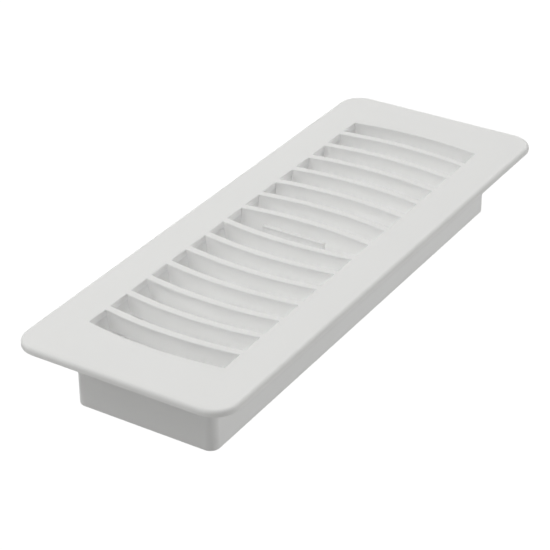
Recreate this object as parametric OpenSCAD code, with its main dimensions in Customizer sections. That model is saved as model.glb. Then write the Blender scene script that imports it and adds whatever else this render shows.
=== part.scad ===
// Drop-in floor register: a flanged louvre face, a neck that drops into the duct,
// and a multi-blade damper worked by a tab in the middle opening.
// +X runs along the register, +Z is up, and z = 0 is the bottom edge of the neck.

/* [Flange] */
// Length over the flange
flange_l = 285.2; // [283:0.1:290]
// Width over the flange
flange_w = 106.9; // [102:0.1:112]
// Plan radius of the flange corners
flange_r = 12; // [6:0.5:18]
// Height of the rim above the floor
flange_t = 3.2; // [3:0.1:4]
// Radius of the quarter-round top edge
edge_r = 1.8; // [1:0.1:2.8]
// Depth of the relief under the flange
relief_d = 1; // [0.5:0.1:1.4]

/* [Neck] */
// Outside length of the neck
neck_l = 247.65; // [247:0.05:250]
// Outside width of the neck
neck_w = 70.8; // [70.4:0.1:74]
// Depth of the neck below the flange
neck_d = 32.3; // [32.2:0.1:40]
// Thickness of the neck walls
neck_wall = 1.3; // [1.1:0.1:1.5]
// Outside radius of the upright corners
neck_r = 4.6; // [3:0.1:6]

/* [Louvres] */
// Spacing of the louvre bars
vane_pitch = 15.25; // [15:0.05:15.4]
// Width of a bar at the top face
vane_w = 3.8; // [3:0.1:4.2]
// Width of a bar at its foot
vane_foot = 2.6; // [2:0.1:3]
// Depth of a bar below the top face
vane_d = 11.4; // [8:0.1:11.5]
// How far the foot of a bar sets in towards the middle
vane_lean = 1.6; // [0:0.1:2.4]
// Plan radius of the bowed bars
vane_arc = 200; // [180:5:400]
// Widest part of the middle opening
middle_gap = 17.6; // [16.5:0.1:18]

/* [Damper] */
// Spacing of the damper blades
blade_pitch = 22; // [21.6:0.1:22]
// Width of a blade across its pivot
blade_chord = 23.2; // [23:0.1:23.4]
// Thickness of a blade
blade_t = 1.2; // [1:0.1:1.3]
// Height of the pivots above the neck's bottom edge
pivot_z = 12; // [11.9:0.1:12.1]
// Radius of the end pins
pin_r = 1.5; // [1.2:0.1:1.7]
// Distance of a crank pin from the pivot
crank_r = 5.2; // [5.1:0.1:5.4]
// Turn of the blades from closed to open, in degrees
swing = 75; // [60:1:75]

/* [Control] */
// Length of the tab's thumb plate
tab_l = 32.6; // [20:0.1:36]
// Thickness of the thumb plate
tab_t = 2.2; // [1.6:0.1:2.6]

/* [Hidden] */
$fn = 96;
arc_fn = 720;
half_bars = 7;
blade_count = 11;
first_blade = 4;

// Heights of the flange
seat_z = neck_d;
top_z = neck_d + flange_t;

// Inside of the neck, the gap between pieces that slip together, and how far a cutting
// shape runs past what it cuts
inner_l = neck_l - 2 * neck_wall;
inner_w = neck_w - 2 * neck_wall;
slip = 0.1;
cut_over = 1;

// Plan of the flange's underside
rim_land = 4;
neck_land = 3;

// Louvre field: bar k of each half sits at bar_x(k) from the middle, and the window
// for them ends under the middle of the end skirts
function bar_x(k) = middle_gap / 2 + vane_w / 2 + k * vane_pitch;
field_end = bar_x(half_bars);
bar_root = 0.5;
arc_sweep = 24;

// Snap hooks on the faceplate and the catches they close on
hook_y = 18;
hook_w = 8;
hook_t = 1.6;
hook_l = 9.4;
barb_h = 2.4;
catch_w = 12;
catch_h = 1.4;
catch_depth = 1;
catch_z = seat_z - hook_l + barb_h + slip;

// Pivot rails, which stop short of the neck's rounded corners, and the ledges and nubs
// that hold them
rail_t = 2.6;
rail_h = 10;
rail_end_gap = neck_r - neck_wall + slip;
rail_l = inner_l - 2 * rail_end_gap;
rail_in = inner_w / 2 - slip - rail_t;
ledge_l = 14;
ledge_h = 1.7;
ledge_depth = 2.5;
nub_l = 8;
nub_h = 1.2;
nub_depth = 0.9;
ledge_xs = [-100, -50, 0, 50, 100];

// Blades
blade_half = blade_chord / 2;
blade_end_gap = 0.4;
blade_l = 2 * (rail_in - blade_end_gap);
lap_gap = 0.4;
spine_r = 1.75;
pin_clear = 0.05;
pin_short = 0.3;
pin_end = rail_in + rail_t - pin_short;
ear_y = 2.6;
ear_t = 2;
ear_r = 2;
notch_w = 2 * ear_y;
notch_keep = 1.6;
crank_pin_r = 1.2;
crank_pin_end = 2.4;

// Crank at rest: half the swing before top dead centre
crank_x = -crank_r * sin(swing / 2);
crank_z = pivot_z + crank_r * cos(swing / 2);

// Tie bar and tab
link_w = 4;
link_h = 4;
link_over = 3.2;
peg_r = 1;
peg_clear = 0.04;
peg_x = 5.5;
peg_l = 3.6;
foot_l = 16;
foot_h = 2.2;
plate_below = 7.1;
plate_z = seat_z - plate_below;

function blade_x(i) = (i - (blade_count - 1) / 2) * blade_pitch;

// Plan outline with rounded corners
module rounded_plan(l, w, r) {
    square([l - 2 * r, w], center = true);
    square([l, w - 2 * r], center = true);
    for (sx = [-1, 1], sy = [-1, 1])
        translate([sx * (l / 2 - r), sy * (w / 2 - r)])
            circle(r);
}

// Section of the flange from a corner's centre out to the rim
module rim_section() {
    square([flange_r - edge_r, flange_t]);
    square([flange_r, flange_t - edge_r]);
    translate([flange_r - edge_r, flange_t - edge_r])
        intersection() {
            circle(edge_r);
            square(edge_r);
        }
}

// Flange with its quarter-round edge, before the openings
module flange_blank() {
    core_l = flange_l - 2 * flange_r;
    core_w = flange_w - 2 * flange_r;
    linear_extrude(flange_t)
        square([core_l, core_w], center = true);
    for (m = [0, 1])
        mirror([0, m, 0])
            translate([0, core_w / 2, 0])
                rotate([90, 0, 90])
                    linear_extrude(core_l, center = true)
                        rim_section();
    for (m = [0, 1])
        mirror([m, 0, 0])
            translate([core_l / 2, 0, 0])
                rotate([90, 0, 0])
                    linear_extrude(core_w, center = true)
                        rim_section();
    for (mx = [0, 1], my = [0, 1])
        mirror([mx, 0, 0])
            mirror([0, my, 0])
                translate([core_l / 2, core_w / 2, 0])
                    rotate_extrude(angle = 90)
                        rim_section();
}

// Window that the louvre bars cross, with bowed ends
module field_window() {
    linear_extrude(2 * flange_t, center = true)
        intersection() {
            square([2 * field_end, inner_w], center = true);
            bowed_end(-1);
            bowed_end(1);
        }
}

// Disc whose edge is one bowed end of the field
module bowed_end(side) {
    translate([side * (field_end - vane_arc), 0])
        circle(vane_arc, $fn = arc_fn);
}

// One leaning bar, bowed away from the middle, for the half at -X
module bar(k) {
    foot = vane_arc - vane_lean;
    translate([vane_arc - bar_x(k), 0, 0])
        rotate([0, 0, 180 - arc_sweep / 2])
            rotate_extrude(angle = arc_sweep, $fn = arc_fn)
                polygon([
                    [vane_arc - vane_w / 2, top_z],
                    [foot - vane_foot / 2, top_z - vane_d],
                    [foot + vane_foot / 2, top_z - vane_d],
                    [vane_arc + vane_w / 2, top_z]
                ]);
}

// All the bars and the skirts at the ends, which are shaped as one more bar in each half,
// trimmed to run into the flange and to clear the neck walls
module bars() {
    intersection() {
        for (m = [0, 1], k = [0 : half_bars])
            mirror([m, 0, 0])
                bar(k);
        union() {
            translate([-flange_l / 2, -inner_w / 2 - bar_root, seat_z])
                cube([flange_l, inner_w + 2 * bar_root, flange_t]);
            translate([-flange_l / 2, -inner_w / 2 + slip, 0])
                cube([flange_l, inner_w - 2 * slip, top_z]);
        }
    }
}

// Snap hook under the +X end of the faceplate, its barb facing the end wall
module hook() {
    back = inner_l / 2 - catch_depth - 2 * slip;
    tip = catch_depth - slip;
    translate([0, hook_w / 2, seat_z])
        rotate([90, 0, 0])
            linear_extrude(hook_w)
                polygon([
                    [back - hook_t, bar_root],
                    [back - hook_t, -hook_l],
                    [back, -hook_l],
                    [back + tip, -hook_l + barb_h],
                    [back, -hook_l + barb_h],
                    [back, bar_root]
                ]);
}

module faceplate() {
    color("whitesmoke") {
        difference() {
            translate([0, 0, seat_z])
                flange_blank();
            translate([0, 0, seat_z + flange_t / 2])
                field_window();
            translate([0, 0, seat_z - relief_d])
                linear_extrude(2 * relief_d)
                    difference() {
                        rounded_plan(flange_l - 2 * rim_land, flange_w - 2 * rim_land, flange_r - rim_land);
                        rounded_plan(neck_l + 2 * neck_land, neck_w + 2 * neck_land, neck_r + neck_land);
                    }
        }
        bars();
        for (m = [0, 1], sy = [-1, 1])
            mirror([m, 0, 0])
                translate([0, sy * hook_y, 0])
                    hook();
    }
}

// Sleeve of the neck, with ledges and nubs that hold the rails and catches for the hooks
module drop_box() {
    color("gainsboro") {
        linear_extrude(neck_d)
            difference() {
                rounded_plan(neck_l, neck_w, neck_r);
                rounded_plan(inner_l, inner_w, neck_r - neck_wall);
            }
        for (m = [0, 1], x = ledge_xs)
            mirror([0, m, 0])
                translate([x, inner_w / 2, 0]) {
                    translate([-ledge_l / 2, -ledge_depth, pivot_z - rail_h / 2 - ledge_h])
                        cube([ledge_l, ledge_depth + bar_root, ledge_h]);
                    translate([-nub_l / 2, -nub_depth, pivot_z + rail_h / 2 + slip])
                        cube([nub_l, nub_depth + bar_root, nub_h]);
                }
        for (m = [0, 1], sy = [-1, 1])
            mirror([m, 0, 0])
                translate([inner_l / 2 - catch_depth, sy * hook_y - catch_w / 2, catch_z])
                    cube([catch_depth + bar_root, catch_w, catch_h]);
    }
}

// Bearing strip inside the long wall on the +Y side
module pivot_rail() {
    color("white")
        difference() {
            translate([-rail_l / 2, rail_in, pivot_z - rail_h / 2])
                cube([rail_l, rail_t, rail_h]);
            for (i = [0 : blade_count - 1])
                translate([blade_x(i), rail_in - cut_over, pivot_z])
                    rotate([-90, 0, 0])
                        cylinder(r = pin_r + pin_clear, h = rail_t + 2 * cut_over);
        }
}

module pivot_rail_left() {
    pivot_rail();
}

module pivot_rail_right() {
    mirror([0, 1, 0])
        pivot_rail();
}

// Slat with raised and lowered lap halves, end pins, and a crank beside its middle notch
module damper_blade(i) {
    color("white")
        translate([blade_x(i), 0, pivot_z]) {
            rotate([90, 0, 0]) {
                cylinder(r = spine_r, h = blade_l, center = true);
                cylinder(r = pin_r, h = 2 * pin_end, center = true);
            }
            translate([0, -blade_l / 2, -lap_gap / 2 - blade_t])
                cube([blade_half, blade_l, blade_t]);
            difference() {
                translate([-blade_half, -blade_l / 2, lap_gap / 2])
                    cube([blade_half, blade_l, blade_t]);
                translate([-blade_half - cut_over, -notch_w / 2, -blade_t])
                    cube([blade_half + cut_over - notch_keep, notch_w, 4 * blade_t]);
            }
            crank();
        }
}

// Crank ear and pin, leaning back by half the swing when the blade is closed
module crank() {
    rotate([0, -swing / 2, 0]) {
        translate([-spine_r, ear_y, 0])
            cube([2 * spine_r, ear_t, crank_r]);
        translate([0, ear_y, crank_r])
            rotate([-90, 0, 0])
                cylinder(r = ear_r, h = ear_t);
        translate([0, -crank_pin_end, crank_r])
            rotate([-90, 0, 0])
                cylinder(r = crank_pin_r, h = crank_pin_end + ear_y + ear_t / 2);
    }
}

// Link along the middle of the register, with a bore for every crank pin
module tie_bar() {
    color("gainsboro")
        translate([crank_x, 0, crank_z])
            difference() {
                cube([2 * (blade_x(blade_count - 1) + link_over), link_w, link_h], center = true);
                for (i = [0 : blade_count - 1])
                    translate([blade_x(i), 0, 0])
                        rotate([90, 0, 0])
                            cylinder(r = crank_pin_r + pin_clear, h = link_w + 2 * cut_over, center = true);
                for (s = [-1, 1])
                    translate([s * peg_x, 0, 0])
                        cylinder(r = peg_r + peg_clear, h = link_h + 2 * cut_over, center = true);
            }
}

// Thumb plate, stem and foot, pegged on the tie bar
module control_tab() {
    foot_z = crank_z + link_h / 2;
    color("white")
        translate([crank_x, 0, 0]) {
            translate([-tab_t / 2, -tab_l / 2, plate_z])
                cube([tab_t, tab_l, top_z - plate_z]);
            translate([-tab_t / 2, -link_w / 2, foot_z])
                cube([tab_t, link_w, top_z - foot_z]);
            translate([-foot_l / 2, -link_w / 2, foot_z])
                cube([foot_l, link_w, foot_h]);
            for (s = [-1, 1])
                translate([s * peg_x, 0, foot_z - peg_l])
                    cylinder(r = peg_r, h = peg_l + foot_h / 2);
        }
}

faceplate();
drop_box();
pivot_rail_left();
pivot_rail_right();
for (i = [0 : blade_count - 1])
    damper_blade(i);
tie_bar();
control_tab();
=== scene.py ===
import math

import bmesh
import bpy
from mathutils import Matrix, Vector


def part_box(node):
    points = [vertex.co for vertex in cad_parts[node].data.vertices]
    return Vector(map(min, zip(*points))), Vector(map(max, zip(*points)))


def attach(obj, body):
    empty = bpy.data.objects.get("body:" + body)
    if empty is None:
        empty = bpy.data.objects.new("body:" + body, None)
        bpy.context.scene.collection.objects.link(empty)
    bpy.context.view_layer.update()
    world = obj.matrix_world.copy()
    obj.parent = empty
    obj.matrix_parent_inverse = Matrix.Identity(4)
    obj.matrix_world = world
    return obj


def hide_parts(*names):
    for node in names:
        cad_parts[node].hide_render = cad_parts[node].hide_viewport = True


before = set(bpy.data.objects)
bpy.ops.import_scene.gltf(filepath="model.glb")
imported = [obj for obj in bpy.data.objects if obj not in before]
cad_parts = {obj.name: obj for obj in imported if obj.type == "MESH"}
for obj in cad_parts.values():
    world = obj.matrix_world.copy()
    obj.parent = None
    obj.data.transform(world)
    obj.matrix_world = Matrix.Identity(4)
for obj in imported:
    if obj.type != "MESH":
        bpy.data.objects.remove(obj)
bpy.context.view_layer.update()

scene = bpy.context.scene
MM = 0.001

# Camera: a tripod shot from the near end of the register, to the right of its long axis,
# through a long lens that keeps the perspective gentle. It aims close to the middle of the
# neck, so that the register fills the square frame from corner to corner.
view_azimuth = math.radians(-57.86)
view_elevation = math.radians(30.36)
view_roll = math.radians(0.41)
view_distance = 866.5 * MM
view_aim = Vector((-12.84, 4.10, 17.47)) * MM
sensor_width = 36.0
focal_length = 123.8

view_back = Vector((
    math.sin(view_azimuth) * math.cos(view_elevation),
    -math.cos(view_azimuth) * math.cos(view_elevation),
    math.sin(view_elevation),
))
level_right = Vector((math.cos(view_azimuth), math.sin(view_azimuth), 0.0))
level_up = view_back.cross(level_right)
view_right = math.cos(view_roll) * level_right - math.sin(view_roll) * level_up
view_up = math.sin(view_roll) * level_right + math.cos(view_roll) * level_up

camera_data = bpy.data.cameras.new("studio_camera")
camera_data.sensor_width = sensor_width
camera_data.lens = focal_length
camera = bpy.data.objects.new("studio_camera", camera_data)
camera_turn = Matrix((view_right, view_up, view_back)).transposed().to_4x4()
camera.matrix_world = Matrix.Translation(view_aim + view_distance * view_back) @ camera_turn
scene.collection.objects.link(camera)
scene.camera = camera

# Neck: the rectangular sleeve that drops into the floor duct, injection moulded in white
# polystyrene with thin plain walls. Ledges and nubs inside hold the damper's rails, catches
# at the ends hold the hooks of the face, and the mould leaves the outer edges slightly eased.
neck_edge = 0.25 * MM
# The neck's white is a shade greyer than the face's. This is painted shade for the half shade on
# its outer walls; the plastic is the same.
neck_white_painted_shade = "#F6F6F6"
merge_gap = 0.001 * MM


def linear_colour(hex_code):
    """An sRGB hex colour as the linear RGBA that shaders take."""
    channels = [int(hex_code[i:i + 2], 16) / 255 for i in (1, 3, 5)]
    return [c / 12.92 if c <= 0.04045 else ((c + 0.055) / 1.055) ** 2.4 for c in channels] + [1.0]


def add_node(tree, kind, inputs=None, **settings):
    """Adds a node with its settings. An input is linked to a socket or set to a value."""
    node = tree.nodes.new(kind)
    for name, value in settings.items():
        setattr(node, name, value)
    for name, value in (inputs or {}).items():
        if isinstance(value, bpy.types.NodeSocket):
            tree.links.new(value, node.inputs[name])
        else:
            node.inputs[name].default_value = value
    return node


def moulded_polystyrene(name, hex_code, roughness, sheen):
    """White polystyrene as it leaves the mould. The eye sees a satin skin whose gloss and
    shade wander a little where the melt flowed, over the fine grain of the tool. The grain
    of a real tool is about 0.2 mm; it is coarser here so that it still shows at this distance."""
    flow_size = 36.0 * MM
    flow_detail = 2.0
    flow_low, flow_high = 0.3, 0.7
    flow_gloss = 0.05
    flow_shade = 0.99
    grain_size = 0.7 * MM
    grain_detail = 3.0
    grain_depth = 0.012 * MM
    refraction = 1.59
    material = bpy.data.materials.new(name)
    material.use_nodes = True
    tree = material.node_tree
    tree.nodes.clear()
    white = linear_colour(hex_code)
    place = add_node(tree, "ShaderNodeTexCoord").outputs["Object"]
    flow = add_node(tree, "ShaderNodeTexNoise", {
        "Vector": place, "Scale": 1 / flow_size, "Detail": flow_detail,
    })
    gloss = add_node(tree, "ShaderNodeMapRange", {
        "Value": flow.outputs["Fac"], "From Min": flow_low, "From Max": flow_high,
        "To Min": roughness - flow_gloss, "To Max": roughness + flow_gloss,
    })
    shade = add_node(tree, "ShaderNodeMix", {
        "Factor": flow.outputs["Fac"], "A": white, "B": [c * flow_shade for c in white],
    }, data_type="RGBA")
    grain = add_node(tree, "ShaderNodeTexNoise", {
        "Vector": place, "Scale": 1 / grain_size, "Detail": grain_detail,
    })
    relief = add_node(tree, "ShaderNodeBump", {
        "Height": grain.outputs["Fac"], "Distance": grain_depth,
    })
    skin = add_node(tree, "ShaderNodeBsdfPrincipled", {
        "Base Color": shade.outputs["Result"], "Roughness": gloss.outputs["Result"],
        "IOR": refraction, "Specular IOR Level": sheen, "Normal": relief.outputs["Normal"],
    })
    add_node(tree, "ShaderNodeOutputMaterial", {"Surface": skin.outputs["BSDF"]})
    return material


def bake_modifiers(piece, material):
    """Turns what the modifiers make into the piece's own plain mesh, with one material."""
    made = piece.evaluated_get(bpy.context.evaluated_depsgraph_get())
    baked = bpy.data.meshes.new_from_object(made)
    baked.materials.clear()
    baked.materials.append(material)
    piece.modifiers.clear()
    piece.data = baked


def settle_shading(piece, sharp_angle):
    """Shades rounded edges smooth and keeps flat faces flat. Where faces meet at less than the
    sharp angle they share a normal, in which a large face counts for more than a small one."""
    piece.data.shade_smooth()
    least_alike = math.cos(sharp_angle)
    facets = piece.data.polygons
    around = [[] for point in piece.data.vertices]
    for facet in facets:
        for point in facet.vertices:
            around[point].append(facet)
    normals = []
    for facet in facets:
        for point in facet.vertices:
            near = [f for f in around[point] if f.normal.dot(facet.normal) > least_alike]
            normals.append(sum((f.normal * f.area for f in near), Vector()).normalized())
    piece.data.normals_split_custom_set(normals)


def eased_copy(node, edge, material):
    """A copy of a CAD solid whose outer edges are rounded as a mould leaves them. Its inner
    corners stay sharp."""
    flat_angle = math.radians(1)
    eased_angle = math.radians(40)
    sharp_angle = math.radians(50)
    edge_steps = 2
    bm = bmesh.new()
    bm.from_mesh(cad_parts[node].data)
    bmesh.ops.remove_doubles(bm, verts=bm.verts, dist=merge_gap)
    bmesh.ops.dissolve_limit(bm, angle_limit=flat_angle, verts=bm.verts, edges=bm.edges)
    eased = bm.edges.layers.float.new("bevel_weight_edge")
    for corner in bm.edges:
        if corner.is_convex and corner.calc_face_angle(0.0) > eased_angle:
            corner[eased] = 1.0
    mesh = bpy.data.meshes.new(node + "_moulding")
    bm.to_mesh(mesh)
    bm.free()
    piece = bpy.data.objects.new(node + "_moulding", mesh)
    scene.collection.objects.link(piece)
    rounding = piece.modifiers.new("eased_edges", "BEVEL")
    rounding.width = edge
    rounding.segments = edge_steps
    rounding.use_clamp_overlap = False
    rounding.loop_slide = False
    rounding.limit_method = "WEIGHT"
    bake_modifiers(piece, material)
    settle_shading(piece, sharp_angle)
    return piece


neck_plastic = moulded_polystyrene("neck_polystyrene_smooth_painted_shade", neck_white_painted_shade, roughness=0.34, sheen=0.5)
neck = eased_copy("drop_box", neck_edge, neck_plastic)
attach(neck, "frame")
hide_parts("drop_box")

# Pivot rails: two bored strips of the same white plastic, clipped between the ledges and
# nubs of the long walls. They carry the end pins of the blades, so that no hole shows
# on the outside of the neck.
rail_edge = 0.25 * MM
rail_white = "#FEFEFE"
rail_plastic = moulded_polystyrene("rail_polystyrene_plain", rail_white, roughness=0.5, sheen=0.1)
for side in ("left", "right"):
    rail = eased_copy("pivot_rail_" + side, rail_edge, rail_plastic)
    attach(rail, "frame")
    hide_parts("pivot_rail_" + side)

# Damper blades: thin slats across the neck that lap each other when closed. Each is one
# moulding with its spine, two end pins and a crank, snapped into the rails.
blade_count = 11
blade_edge = 0.12 * MM
blade_white = "#FEFEFE"
blade_plastic = moulded_polystyrene(
    "blade_polystyrene_plain", blade_white, roughness=0.5, sheen=0.1,
)
for number in range(1, blade_count + 1):
    blade = eased_copy(f"damper_blade_{number:02d}", blade_edge, blade_plastic)
    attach(blade, f"blade_{number:02d}")
    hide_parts(f"damper_blade_{number:02d}")

# Tie bar: the moulded link that joins all the cranks. Every crank pin turns in one of its
# bores, so it swings along with the blades and stays level.
link_edge = 0.25 * MM
link_white = "#FEFEFE"
link_plastic = moulded_polystyrene("link_polystyrene_plain", link_white, roughness=0.5, sheen=0.1)
link = eased_copy("tie_bar", link_edge, link_plastic)
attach(link, "tie_bar")
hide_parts("tie_bar")

# Control tab: the thumb plate in the middle opening, one moulding with its stem and a foot
# that is pegged on the tie bar. Its edges are slightly rounded for the finger.
tab_edge = 0.25 * MM
# The tab's white is a shade greyer than the face's. This is painted shade for the shade on its
# front in the narrow gap before the next bar.
tab_white_painted_shade = "#F6F6F6"
tab_plastic = moulded_polystyrene("tab_polystyrene_satin_painted_shade", tab_white_painted_shade, roughness=0.44, sheen=0.1)
tab = eased_copy("control_tab", tab_edge, tab_plastic)
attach(tab, "tie_bar")
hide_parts("control_tab")

# Face: the flange, the louvre bars and four snap hooks, moulded in one piece in satin white.
# Its top rises a little inside the rim, the rim is a quarter round over a hollowed underside,
# and the bars lean inwards at their feet and bow towards the ends of the window.
face_white = "#FEFEFE"
face_plastic = moulded_polystyrene("face_polystyrene_satin", face_white, roughness=0.58, sheen=0.1)
face_sharp_angle = math.radians(40)
face_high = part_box("faceplate")[1]
neck_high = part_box("drop_box")[1]
seat_z = neck_high.z
top_z = face_high.z
corner_radius = 12.0 * MM
rim_round = 1.8 * MM
rim_steps = 12
rim_ease = 0.3 * MM
rim_flat = 0.4 * MM
rim_land = 4.0 * MM
ease_steps = 4
relief_depth = 1.0 * MM
neck_corner = 4.6 * MM
neck_land = 3.0 * MM
crown = 0.05 * MM
crown_start = 0.5 * MM
crown_edge = 2.0 * MM
crown_first_fall = 0.15 * crown

bar_spacing = 15.25 * MM
first_bar = 10.7 * MM
bars_per_half = 7
bar_width = 3.8 * MM
bar_foot = 2.6 * MM
bar_depth = 11.4 * MM
bar_lean = 1.6 * MM
bar_ease = 0.5 * MM
bar_sink = 0.02 * MM
bow_radius = 200.0 * MM
bow_points = 33
bow_spare = 1.05
skirt_x = first_bar + bars_per_half * bar_spacing
window_half_w = 34.1 * MM
window_corner = 0.7 * MM
window_ease = 0.45 * MM
window_flat = 1.2 * MM
bar_root = 1.3 * MM
bar_clearance = 0.02 * MM

hook_y = 18.0 * MM
hook_width = 8.0 * MM
hook_thickness = 1.6 * MM
hook_length = 9.4 * MM
hook_back = 121.3 * MM
barb_height = 2.4 * MM
barb_reach = 0.9 * MM


def plan_loop(half_l, half_w, corner, z, bow=0.0):
    """Points round a rectangle with rounded corners. With a bow radius, its ends are arcs."""
    end_steps, corner_steps, side_steps = 28, 8, 60
    end_y = half_w - corner

    def end_x(y):
        return half_l - (bow - math.sqrt(bow * bow - y * y)) if bow else half_l

    side_x = end_x(end_y) - corner
    half = [(end_x(y), y) for y in (end_y * (2 * i / end_steps - 1) for i in range(end_steps))]
    for centre_x, start in ((side_x, 0.0), (-side_x, math.pi / 2)):
        for i in range(corner_steps):
            angle = start + math.pi / 2 * i / corner_steps
            half.append((centre_x + corner * math.cos(angle), end_y + corner * math.sin(angle)))
        if start == 0.0:
            half += [(side_x * (1 - 2 * i / side_steps), half_w) for i in range(side_steps)]
    return [(turn * x, turn * y, z) for turn in (1, -1) for x, y in half]


def window_loop(out, z):
    """A loop that lies outside the window's wall."""
    return plan_loop(skirt_x + out, window_half_w + out, window_corner + out, z, bow_radius)


def rim_loop(inset, z):
    """A loop that lies inside the flange's outline."""
    return plan_loop(face_high.x - inset, face_high.y - inset, corner_radius - inset, z)


def neck_loop(out, z):
    """A loop that lies outside the neck's outline."""
    return plan_loop(neck_high.x + out, neck_high.y + out, neck_corner + out, z)


def quarter_turn(steps):
    """The angles of a quarter round, from 0 to 90 degrees."""
    return [math.pi / 2 * i / steps for i in range(steps + 1)]


def add_prism(bm, outline, y_from, y_to):
    """A closed prism along Y from an outline of (x, z) points."""
    ends = [[bm.verts.new((x, y, z)) for x, z in outline] for y in (y_from, y_to)]
    bm.faces.new(ends[0])
    bm.faces.new(ends[1][::-1])
    for i in range(len(outline)):
        j = (i + 1) % len(outline)
        bm.faces.new((ends[0][i], ends[1][i], ends[1][j], ends[0][j]))


# The section of the flange runs from the window's wall over the crowned top, round the rim
# and back along the rim land, the relief and the neck land.
rim_top = top_z - crown
section = [window_loop(0, seat_z)]
for a in quarter_turn(ease_steps):
    out, below = window_ease * (1 - math.cos(a)), window_ease * (1 - math.sin(a))
    section.append(window_loop(out, top_z - below))
section.append(window_loop(window_ease + window_flat, top_z))
section.append(neck_loop(crown_start, top_z))
section.append(neck_loop(crown_start + crown_edge, top_z - crown_first_fall))
section.append(rim_loop(rim_round + rim_flat, rim_top))
for a in quarter_turn(rim_steps):
    inset, below = rim_round * (1 - math.sin(a)), rim_round * (1 - math.cos(a))
    section.append(rim_loop(inset, rim_top - below))
for a in quarter_turn(ease_steps):
    inset, above = rim_ease * (1 - math.cos(a)), rim_ease * (1 - math.sin(a))
    section.append(rim_loop(inset, seat_z + above))
section.append(rim_loop(rim_land, seat_z))
section.append(rim_loop(rim_land, seat_z + relief_depth))
section.append(neck_loop(neck_land, seat_z + relief_depth))
section.append(neck_loop(neck_land, seat_z))

bm = bmesh.new()
rows = [[bm.verts.new(point) for point in loop] for loop in section]
for row, after in zip(rows, rows[1:] + rows[:1]):
    for i in range(len(row)):
        j = (i + 1) % len(row)
        bm.faces.new((row[i], row[j], after[j], after[i]))
hook_root = seat_z + relief_depth
hook_tip = seat_z - hook_length
hook_outline = [
    (hook_back - hook_thickness, hook_root),
    (hook_back - hook_thickness, hook_tip),
    (hook_back, hook_tip),
    (hook_back + barb_reach, hook_tip + barb_height),
    (hook_back, hook_tip + barb_height),
    (hook_back, hook_root),
]
for end in (1, -1):
    for middle in (hook_y, -hook_y):
        hook_side = [(end * x, z) for x, z in hook_outline]
        add_prism(bm, hook_side, middle - hook_width / 2, middle + hook_width / 2)
bmesh.ops.remove_doubles(bm, verts=bm.verts, dist=merge_gap)
bmesh.ops.recalc_face_normals(bm, faces=bm.faces)
face_mesh = bpy.data.meshes.new("face_moulding")
bm.to_mesh(face_mesh)
bm.free()
face = bpy.data.objects.new("face_moulding", face_mesh)
scene.collection.objects.link(face)

# The bars are one rounded section swept along the bow and repeated through each half. The
# last of each half is the skirt at the window's end. They are trimmed where they meet the
# flange and where they pass the neck walls, and fused with the flange and the hooks.
root_half_w = window_half_w + bar_root
clear_half_w = window_half_w - bar_clearance
clear_height = 4 * bar_depth
bar_inputs = {
    "Bow radius": ("NodeSocketFloat", bow_radius),
    "Bow sweep": ("NodeSocketFloat", 2 * bow_spare * math.asin(root_half_w / bow_radius)),
    "Top outside": ("NodeSocketVector", (bar_width / 2, bar_sink, 0)),
    "Foot outside": ("NodeSocketVector", (bar_foot / 2 - bar_lean, bar_depth, 0)),
    "Foot inside": ("NodeSocketVector", (-bar_foot / 2 - bar_lean, bar_depth, 0)),
    "Top inside": ("NodeSocketVector", (-bar_width / 2, bar_sink, 0)),
    "Edge radius": ("NodeSocketFloat", bar_ease),
    "Bars and skirt per half": ("NodeSocketInt", bars_per_half + 1),
    "First bar": ("NodeSocketVector", (bow_radius - first_bar, 0, top_z)),
    "Bar spacing": ("NodeSocketVector", (-bar_spacing, 0, 0)),
    "Face top": ("NodeSocketVector", (0, 0, top_z)),
    "Root space": ("NodeSocketVector", (2 * face_high.x, 2 * root_half_w, 2 * (top_z - seat_z))),
    "Clear space": ("NodeSocketVector", (2 * face_high.x, 2 * clear_half_w, clear_height)),
}
tree = bpy.data.node_groups.new("louvre_bars", "GeometryNodeTree")
tree.interface.new_socket("Flange", in_out="INPUT", socket_type="NodeSocketGeometry")
for name, (kind, value) in bar_inputs.items():
    tree.interface.new_socket(name, in_out="INPUT", socket_type=kind)
tree.interface.new_socket("Face", in_out="OUTPUT", socket_type="NodeSocketGeometry")
given = add_node(tree, "NodeGroupInput").outputs
half_sweep = add_node(tree, "ShaderNodeMath", {
    0: given["Bow sweep"], 1: 0.5,
}, operation="MULTIPLY")
bow_start = add_node(tree, "ShaderNodeMath", {
    0: math.pi, 1: half_sweep.outputs[0],
}, operation="SUBTRACT")
bow = add_node(tree, "GeometryNodeCurveArc", {
    "Resolution": bow_points, "Radius": given["Bow radius"],
    "Start Angle": bow_start.outputs[0], "Sweep Angle": given["Bow sweep"],
}, mode="RADIUS")
outline = add_node(tree, "GeometryNodeCurvePrimitiveQuadrilateral", {
    "Point 1": given["Top outside"], "Point 2": given["Foot outside"],
    "Point 3": given["Foot inside"], "Point 4": given["Top inside"],
}, mode="POINTS")
rounded = add_node(tree, "GeometryNodeFilletCurve", {
    "Curve": outline.outputs["Curve"], "Count": ease_steps, "Radius": given["Edge radius"],
}, mode="POLY")
one_bar = add_node(tree, "GeometryNodeCurveToMesh", {
    "Curve": bow.outputs["Curve"], "Profile Curve": rounded.outputs["Curve"], "Fill Caps": True,
})
places = add_node(tree, "GeometryNodeMeshLine", {
    "Count": given["Bars and skirt per half"],
    "Start Location": given["First bar"], "Offset": given["Bar spacing"],
})
near_half = add_node(tree, "GeometryNodeInstanceOnPoints", {
    "Points": places.outputs["Mesh"], "Instance": one_bar.outputs["Mesh"],
}).outputs["Instances"]
far_half = add_node(tree, "GeometryNodeTransform", {
    "Geometry": near_half, "Rotation": (0, 0, math.pi),
}).outputs["Geometry"]
both_halves = add_node(tree, "GeometryNodeJoinGeometry", {"Geometry": near_half})
tree.links.new(far_half, both_halves.inputs["Geometry"])
bars = add_node(tree, "GeometryNodeRealizeInstances", {"Geometry": both_halves.outputs["Geometry"]})


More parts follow.
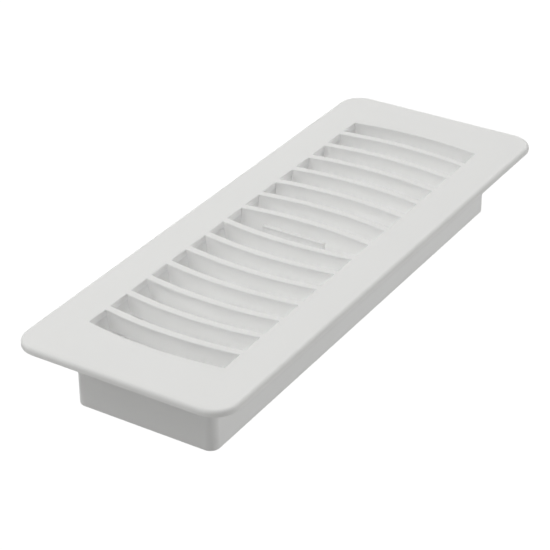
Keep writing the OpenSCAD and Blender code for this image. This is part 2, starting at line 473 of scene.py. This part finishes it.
def boolean(operation, first, second, crossing=False):
    """Joins or intersects two closed meshes of the tree and gives the result's socket."""
    node = add_node(tree, "GeometryNodeMeshBoolean", {
        "Mesh 2": first, "Self Intersection": crossing,
    }, operation=operation, solver="EXACT")
    tree.links.new(second, node.inputs["Mesh 2"])
    return node.outputs["Mesh"]


def space(size):
    """A block of room round the middle of the face's top."""
    block = add_node(tree, "GeometryNodeMeshCube", {"Size": size}).outputs["Mesh"]
    return add_node(tree, "GeometryNodeTransform", {
        "Geometry": block, "Translation": given["Face top"],
    }).outputs["Geometry"]


room = boolean("UNION", space(given["Root space"]), space(given["Clear space"]))
trimmed = boolean("INTERSECT", bars.outputs["Geometry"], room)
fused = boolean("UNION", given["Flange"], trimmed, crossing=True)
whole = add_node(tree, "GeometryNodeRealizeInstances", {"Geometry": fused})
coated = add_node(tree, "GeometryNodeSetMaterial", {
    "Geometry": whole.outputs["Geometry"], "Material": face_plastic,
})
add_node(tree, "NodeGroupOutput", {"Face": coated.outputs["Geometry"]})

louvres = face.modifiers.new("louvre_bars", "NODES")
louvres.node_group = tree
for item in tree.interface.items_tree:
    if item.in_out == "INPUT" and item.name in bar_inputs:
        louvres[item.identifier] = bar_inputs[item.name][1]
bake_modifiers(face, face_plastic)
settle_shading(face, face_sharp_angle)
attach(face, "frame")
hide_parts("faceplate")

# Studio: a table of pale grey paper that is lit a little from below. The camera and shiny
# surfaces see it and the backdrop as white, and it keeps a faint shadow of the register.
floor_half = 3.0
floor_pale = "#A8A8A6"
floor_glow = 1.2
glow_share = 0.8
table_light = 0.16


def seen_directly(tree):
    """1 for the rays that show the background itself: to the camera, mirrored or refracted."""
    rays = add_node(tree, "ShaderNodeLightPath").outputs
    either = add_node(tree, "ShaderNodeMath", {
        0: rays["Is Camera Ray"], 1: rays["Is Glossy Ray"],
    }, operation="MAXIMUM")
    return add_node(tree, "ShaderNodeMath", {
        0: either.outputs[0], 1: rays["Is Transmission Ray"],
    }, operation="MAXIMUM").outputs[0]


floor_mesh = bpy.data.meshes.new("studio_floor")
floor_signs = ((-1, -1), (1, -1), (1, 1), (-1, 1))
floor_corners = [(x * floor_half, y * floor_half, 0) for x, y in floor_signs]
floor_mesh.from_pydata(floor_corners, [], [(0, 1, 2, 3)])
floor = bpy.data.objects.new("studio_floor", floor_mesh)
scene.collection.objects.link(floor)
floor_paper = bpy.data.materials.new("studio_paper_matt")
floor_paper.use_nodes = True
paper_tree = floor_paper.node_tree
paper_tree.nodes.clear()
share = add_node(paper_tree, "ShaderNodeMath", {
    0: seen_directly(paper_tree), 1: glow_share,
}, operation="MULTIPLY")
paper = add_node(paper_tree, "ShaderNodeBsdfDiffuse", {"Color": linear_colour(floor_pale)})
underlight = add_node(paper_tree, "ShaderNodeEmission", {"Strength": table_light})
lit_paper = add_node(paper_tree, "ShaderNodeAddShader", {
    0: paper.outputs[0], 1: underlight.outputs[0],
})
glow = add_node(paper_tree, "ShaderNodeEmission", {"Strength": floor_glow})
paper_look = add_node(paper_tree, "ShaderNodeMixShader", {
    0: share.outputs[0], 1: lit_paper.outputs[0], 2: glow.outputs[0],
})
add_node(paper_tree, "ShaderNodeOutputMaterial", {"Surface": paper_look.outputs[0]})
floor_mesh.materials.append(floor_paper)

# Light: large softboxes with faintly warm tubes in a dark room. Most of the light comes from
# above, on the left and behind. One box stands low on the right, and only a weak one is near
# the camera, so that whatever faces the camera falls into half shade.
room_level = 0.0
backdrop_white = "#FFFFFF"
backdrop_level = 1.0
softbox_warm = "#FFFFFD"
softbox_size = 1.5
softbox_distance = 2.5
# Each softbox has its azimuth and elevation in degrees, and its power in watts.
softboxes = {
    "left_softbox": (135, 35, 11.0),
    "top_softbox": (135, 62, 16.8),
    "back_softbox": (45, 60, 22.0),
    "right_softbox": (308, 14, 19.2),
    "near_softbox": (225, 35, 8.2),
}
world = bpy.data.worlds.new("studio_room")
scene.world = world
world.use_nodes = True
world_tree = world.node_tree
world_tree.nodes.clear()
dim_room = add_node(world_tree, "ShaderNodeBackground", {
    "Color": linear_colour(backdrop_white), "Strength": room_level,
})
backdrop = add_node(world_tree, "ShaderNodeBackground", {
    "Color": linear_colour(backdrop_white), "Strength": backdrop_level,
})
room_look = add_node(world_tree, "ShaderNodeMixShader", {
    0: seen_directly(world_tree), 1: dim_room.outputs[0], 2: backdrop.outputs[0],
})
add_node(world_tree, "ShaderNodeOutputWorld", {"Surface": room_look.outputs[0]})

for name, (azimuth, elevation, power) in softboxes.items():
    lamp_data = bpy.data.lights.new(name, "AREA")
    lamp_data.size = softbox_size
    lamp_data.energy = power
    lamp_data.color = linear_colour(softbox_warm)[:3]
    lamp = bpy.data.objects.new(name, lamp_data)
    level = math.cos(math.radians(elevation))
    away = Vector((
        level * math.cos(math.radians(azimuth)),
        level * math.sin(math.radians(azimuth)),
        math.sin(math.radians(elevation)),
    ))
    lamp.location = away * softbox_distance
    lamp.rotation_euler = away.to_track_quat("Z", "Y").to_euler()
    scene.collection.objects.link(lamp)

# Light goes back and forth many times between the white walls of the louvres.
light_bounces = 24
scene.cycles.max_bounces = light_bounces
scene.cycles.diffuse_bounces = light_bounces

scene.view_settings.view_transform = "Standard"
